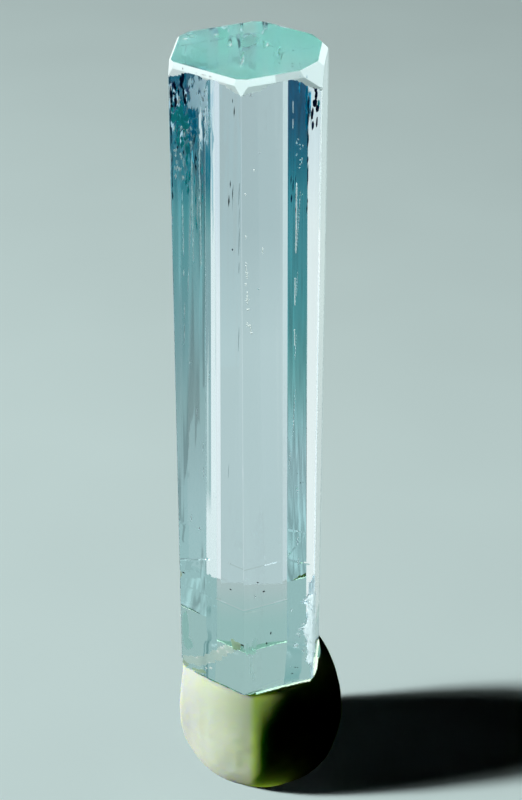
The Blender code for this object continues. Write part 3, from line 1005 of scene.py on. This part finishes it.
# Colour of each card at distances from the putty. Close round the putty the cards are darker than the floor:
# painted shade
NEAR_SHADE_COLOUR = (0.35, 0.55, 0.52)
RIGHT_CARD = (
    (0, *NEAR_SHADE_COLOUR), (13, 0.37, 0.57, 0.56), (17, 0.37, 0.56, 0.56), (21, 0.37, 0.54, 0.545),
    (26, 0.32, 0.475, 0.48), (32, 0.28, 0.443, 0.443), (40, 0.2, 0.375, 0.39), (50, 0.15, 0.365, 0.38),
    (60, 0.09, 0.33, 0.35), (66, 0.025, 0.21, 0.26), (75, 0.003, 0.12, 0.18), (85, 0.004, 0.115, 0.18),
    (100, 0.003, 0.02, 0.09),
)
LEFT_CARD = (
    (0, 0.88, 0.95, 0.92), (20, 0.97, 1.02, 0.99), (60, 0.9, 0.96, 0.94), (80, 0.72, 0.84, 0.86),
)
STRIPE = ((0, 0.5, 0.75, 0.8), (80, 0.45, 0.7, 0.8))
BACK_CARD = ((0, *NEAR_SHADE_COLOUR), (13.5, *NEAR_SHADE_COLOUR), (17, 0.47, 0.58, 0.57))
WHITE_CARD = ((0, 0.86, 0.95, 0.96), (50, 0.84, 0.94, 0.96), (66, 0.7, 0.82, 0.88))
WINDOW_CARD = (
    (0, 0.52, 0.655, 0.66), (26, 0.52, 0.655, 0.66), (44, 0.535, 0.67, 0.675), (62, 0.45, 0.575, 0.585),
)
SHEEN_CARD = ((0, 2.6, 2.8, 2.8),)
SIDE_CARD = ((0, 0.44, 0.57, 0.56), (32, 0.46, 0.59, 0.58), (48, 0.52, 0.67, 0.65))
PALE_CARD = ((0, 0.58, 0.72, 0.74), (28, 0.6, 0.73, 0.74), (45, 0.63, 0.78, 0.79))
# The cards: name, colours, range of directions in degrees, range of distances, and height
FAR = 400
CARDS = (
    ("right_card", RIGHT_CARD, (-69, -4), (1, FAR), 0.05),
    ("left_card", LEFT_CARD, (156, 221), (6, FAR), 0.05),
    ("back_card", BACK_CARD, (60, 130), (1, 17), 0.05),
    ("white_card", WHITE_CARD, (58, 85), (17, FAR), 0.1),
    ("window_card", WINDOW_CARD, (85, 112), (17, FAR), 0.08),
    ("side_card", SIDE_CARD, (62, 100), (1, FAR), 0.12),
    ("pale_card", PALE_CARD, (112, 134), (17, FAR), 0.1),
    ("right_stripe_near", STRIPE, (-47.5, -42.5), (34, FAR), 0.1),
    ("right_stripe_far", STRIPE, (-30.5, -25.5), (34, FAR), 0.1),
    ("calm_card", RIGHT_CARD, (-33.5, -26), (13, 34), 0.1),
    ("sheen_card", SHEEN_CARD, (-4, 56), (6, FAR), 0.12),
)
REFLECTED_CARDS = ("side_card", "sheen_card")
CARD_STEPS = 16
# The distance at which the cards' colours end
CARD_REACH = 200 * MM
# The right card's rays: how strongly they stand out, and how many there are to a radian
RAYED_CARD = "right_card"
RAY_CONTRAST = 0.32
RAYS = 26
# Upright tinted films: direction in degrees, span across it, and tint at heights
GEL_DISTANCE = 4 * MM
GEL_FOOT = 6.5 * MM
GEL_TOP = 40 * MM
GELS = (
    ("teal_gel", -35, (-4.0, 0.02), (
        (0, 1, 1, 1), (12.2, 1, 1, 1), (15.5, 0.58, 0.79, 0.77), (18.5, 0.4, 0.77, 0.75),
        (21, 0.33, 0.76, 0.77), (26.5, 0.33, 0.68, 0.77), (28.5, 0.1, 0.68, 0.78),
        (31, 0.05, 0.62, 0.84),
    )),
    ("band_gel", -157.5, (0.9, 1.62), (
        (0, 1, 1, 1), (9.2, 1, 1, 1), (10.8, 0.49, 0.61, 0.61), (13.4, 0.46, 0.57, 0.58),
        (16.5, 0.4, 0.53, 0.54), (19.3, 0.34, 0.46, 0.48), (23.4, 0.29, 0.43, 0.45),
        (24.9, 0.26, 0.44, 0.45), (26.4, 0.12, 0.33, 0.35), (27.9, 0.013, 0.177, 0.24),
        (29.2, 0.018, 0.207, 0.29), (30.2, 0.12, 0.34, 0.4), (31.3, 0.2, 0.385, 0.43),
    )),
    ("edge_gel", -157.5, (1.62, 1.87), (
        (0, 1, 1, 1), (9.2, 1, 1, 1), (10.8, 0.62, 0.72, 0.71), (16.5, 0.67, 0.76, 0.76),
        (19.3, 0.73, 0.8, 0.78), (23.4, 0.74, 0.83, 0.8), (24.9, 0.64, 0.76, 0.76),
        (26.4, 0.5, 0.65, 0.69), (27.9, 0.5, 0.7, 0.77), (29.2, 0.34, 0.53, 0.6),
        (30.2, 0.38, 0.55, 0.61), (31.3, 0.8, 0.88, 0.94),
    )),
    ("line_gel", -37.8, (2.502, 2.62), (
        (0, 1, 1, 1), (24.5, 1, 1, 1), (26.5, 0.75, 0.85, 0.85), (28.5, 0.4, 0.6, 0.6),
        (31, 0.4, 0.6, 0.6), (33, 1, 1, 1),
    )),
    ("block_gel", -37.8, (2.82, 3.2), (
        (0, 1, 1, 1), (24.4, 1, 1, 1), (25.9, 0.65, 0.75, 0.77), (27.4, 0.36, 0.66, 0.68),
        (29, 0.1, 0.64, 0.74), (30.4, 0.15, 0.76, 0.84), (31.6, 0.8, 0.95, 1),
    )),
)


def card_material(name, stops):
    """Glows with a colour that depends on the distance from the putty."""
    material = new_material(name, (0, 0, 0), 1.0, {"Specular IOR Level": 0.0, "Emission Strength": 1.0})
    tree = material.node_tree
    where = add_node(tree, "TexCoord").outputs["Object"]
    length = add_node(tree, "VectorMath", {0: where}, operation="LENGTH").outputs["Value"]
    share = add_node(tree, "Math", {0: length, 1: CARD_REACH}, operation="DIVIDE").outputs["Value"]
    feed(shader_of(material), {"Emission Color": ramp_over(tree, stops, CARD_REACH / MM, share)})
    if name == RAYED_CARD:
        feed(shader_of(material), {"Emission Strength": rays(tree, where)})
    material.cycles.emission_sampling = "NONE"
    return material


def rays(tree, where):
    """Strength of light and dark rays that spread from the putty."""
    split = add_node(tree, "SeparateXYZ", {"Vector": where})
    turn = add_node(tree, "Math", {0: split.outputs["Y"], 1: split.outputs["X"]}, operation="ARCTAN2")
    values = {"W": turn.outputs["Value"], "Scale": RAYS, "Detail": 1}
    cloud = add_node(tree, "TexNoise", values, noise_dimensions="1D")
    return map_range(tree, cloud.outputs["Fac"], (0.3, 0.7), (1 - RAY_CONTRAST, 1 + RAY_CONTRAST))


def show_only(piece, through, reflected):
    """Hide a piece from the camera and from shadows, but not from rays through or off the crystal."""
    piece.visible_camera = False
    piece.visible_diffuse = False
    piece.visible_glossy = reflected
    piece.visible_transmission = through
    piece.visible_shadow = False


def card(name, stops, directions, distances, height):
    """A flat card in the shape of a sector, seen either through the crystal or in its reflections."""
    mesh = bmesh.new()
    low, high = directions
    pairs = []
    for step in range(CARD_STEPS + 1):
        away = direction(math.radians(low + (high - low) * step / CARD_STEPS))
        pairs.append([mesh.verts.new(away * distance * MM) for distance in distances])
    for (a, b), (c, d) in zip(pairs, pairs[1:]):
        mesh.faces.new((a, b, d, c))
    made = mesh_object(name, mesh)
    made.location.z = height * MM
    made.data.materials.append(card_material(name, stops))
    reflected = name in REFLECTED_CARDS
    show_only(made, not reflected, reflected)


def gel_material(name, tints):
    """Clear but for a tint that changes with the height."""
    material = bpy.data.materials.new(name)
    material.use_nodes = True
    tree = material.node_tree
    tint = ramp_along(tree, tints, GEL_TOP / MM, "Object", "Z", (0, GEL_TOP))
    film = add_node(tree, "BsdfTransparent", {"Color": tint})
    feed(tree.nodes["Material Output"], {"Surface": film.outputs["BSDF"]})
    return material


def make_gel(name, turn, span, tints):
    """An upright sheet of tinted film beside the crystal, seen only through it."""
    mesh = bmesh.new()
    away = direction(math.radians(turn))
    aside = Vector((-away.y, away.x, 0))
    low, high = [side * MM for side in span]
    corners = [(low, GEL_FOOT), (high, GEL_FOOT), (high, GEL_TOP), (low, GEL_TOP)]
    places = [away * GEL_DISTANCE + aside * side + Vector((0, 0, z)) for side, z in corners]
    mesh.faces.new([mesh.verts.new(place) for place in places])
    gel = mesh_object(name, mesh)
    gel.data.materials.append(gel_material(name, tints))
    show_only(gel, True, False)


def make_surroundings():
    for row in CARDS:
        card(*row)
    for gel in GELS:
        make_gel(*gel)


def make_floor():
    """A faintly mottled sheet, with painted shade that grows darker towards the back."""
    mesh = bmesh.new()
    bmesh.ops.create_grid(mesh, x_segments=1, y_segments=1, size=FLOOR_HALF)
    floor = mesh_object("floor", mesh)
    material = new_material("floor", FLOOR_COLOUR, 1.0, {"Specular IOR Level": 0.0})
    tree = material.node_tree
    where = add_node(tree, "TexCoord").outputs["Object"]
    cloud = add_node(tree, "TexNoise", {"Vector": where, "Scale": 90, "Detail": 1})
    slope = add_node(tree, "VectorMath", {0: where, 1: FLOOR_SHADE_WAY}, operation="DOT_PRODUCT")
    far = map_range(tree, slope.outputs["Value"], FLOOR_SHADE_REACH, (1.0, 0.74))
    mottle = map_range(tree, cloud.outputs["Fac"], (0.0, 1.0), (0.97, 1.03))
    shade = add_node(tree, "Math", {0: far, 1: mottle}, operation="MULTIPLY")
    values = {0: FLOOR_COLOUR, "Scale": shade.outputs["Value"]}
    tint = add_node(tree, "VectorMath", values, operation="SCALE")
    feed(shader_of(material), {"Base Color": tint.outputs["Vector"]})
    floor.data.materials.append(material)
    floor.visible_diffuse = False
    floor.visible_glossy = False


# Light and camera

KEY_TURN = math.radians(192)
KEY_LEVEL = math.radians(24)
KEY_DISTANCE = 1.2
# Name, size and energy
KEY_LAMPS = (("key", 0.11, 19), ("halo", 0.24, 5))
BOUNCE_SIZE = 1.9 * MM
BOUNCE_ENERGY = 4.0e-6
BOUNCE_COLOUR = (0.85, 1.0, 0.35)
BOUNCE_PLACE = Vector((0.5, -3.45, 0.03)) * MM

# Radiance of the surroundings at heights above the horizon, as the sine of the angle
SKY = (
    (-1, 0, 0, 0), (-0.04, 0, 0, 0), (0, 0.38, 0.56, 0.53), (0.78, 0.38, 0.56, 0.53), (0.86, 5, 5.2, 5.2),
)
SKY_STRENGTH = 5.2

# Where the camera stands round the crystal's axis, how far away, and what it aims at
VIEW_TURN = math.radians(6)
VIEW_LEVEL = math.radians(30.76)
CAMERA_DISTANCE = 98.3 * MM
AIM_RIGHT = 0.47 * MM
AIM_HEIGHT = 20.5 * MM
LENS = 96.75
SENSOR = 36
CLIP_START = 1 * MM
CLIP_END = 5


def make_world():
    """A dim horizon and a bright sky overhead, which don't light the putty or the floor."""
    world = bpy.data.worlds.new("studio")
    bpy.context.scene.world = world
    world.use_nodes = True
    tree = world.node_tree
    stops = [(height + 1, *[part / SKY_STRENGTH for part in colour]) for height, *colour in SKY]
    colour = ramp_along(tree, stops, 2.0, "Generated", "Z", (-1.0, 1.0))
    feed(tree.nodes["Background"], {"Color": colour, "Strength": SKY_STRENGTH})
    world.cycles_visibility.diffuse = False


def lamp(name, size, energy, colour, place):
    """A disk lamp that neither the camera nor the crystal shows."""
    data = bpy.data.lights.new(name, "AREA")
    data.shape = "DISK"
    data.size = size
    data.energy = energy
    data.color = colour
    made = link(bpy.data.objects.new(name, data))
    made.location = place
    made.visible_camera = made.visible_glossy = made.visible_transmission = False
    return made


def make_lamps():
    """A small bright key with a wide, weak halo, and light that the bare floor throws up in front."""
    way = direction(KEY_TURN, KEY_LEVEL)
    for name, size, energy in KEY_LAMPS:
        made = lamp(name, size, energy, (1, 1, 1), way * KEY_DISTANCE)
        made.rotation_euler = way.to_track_quat("Z", "Y").to_euler()
    bounce = lamp("bounce", BOUNCE_SIZE, BOUNCE_ENERGY, BOUNCE_COLOUR, BOUNCE_PLACE)
    bounce.rotation_euler = (math.pi, 0, 0)


def make_camera():
    data = bpy.data.cameras.new("camera")
    data.lens, data.sensor_width = LENS, SENSOR
    data.clip_start, data.clip_end = CLIP_START, CLIP_END
    camera = link(bpy.data.objects.new("camera", data))
    back = direction(VIEW_TURN + FRONT, VIEW_LEVEL)
    right = direction(VIEW_TURN)
    aim = Vector((AXIS_X, 0, AIM_HEIGHT)) + right * AIM_RIGHT
    camera.location = aim + back * CAMERA_DISTANCE
    camera.rotation_euler = back.to_track_quat("Z", "Y").to_euler()
    bpy.context.scene.camera = camera


def set_light_paths():
    scene = bpy.context.scene
    scene.view_settings.view_transform = "Standard"
    scene.cycles.max_bounces = 32
    scene.cycles.glossy_bounces = 28
    scene.cycles.transmission_bounces = 28
    scene.cycles.diffuse_bounces = 3
    scene.cycles.blur_glossy = 0.2


make_camera()
make_crystal()
make_all_marks()
make_putty()
make_floor()
make_surroundings()
make_world()
make_lamps()
set_light_paths()
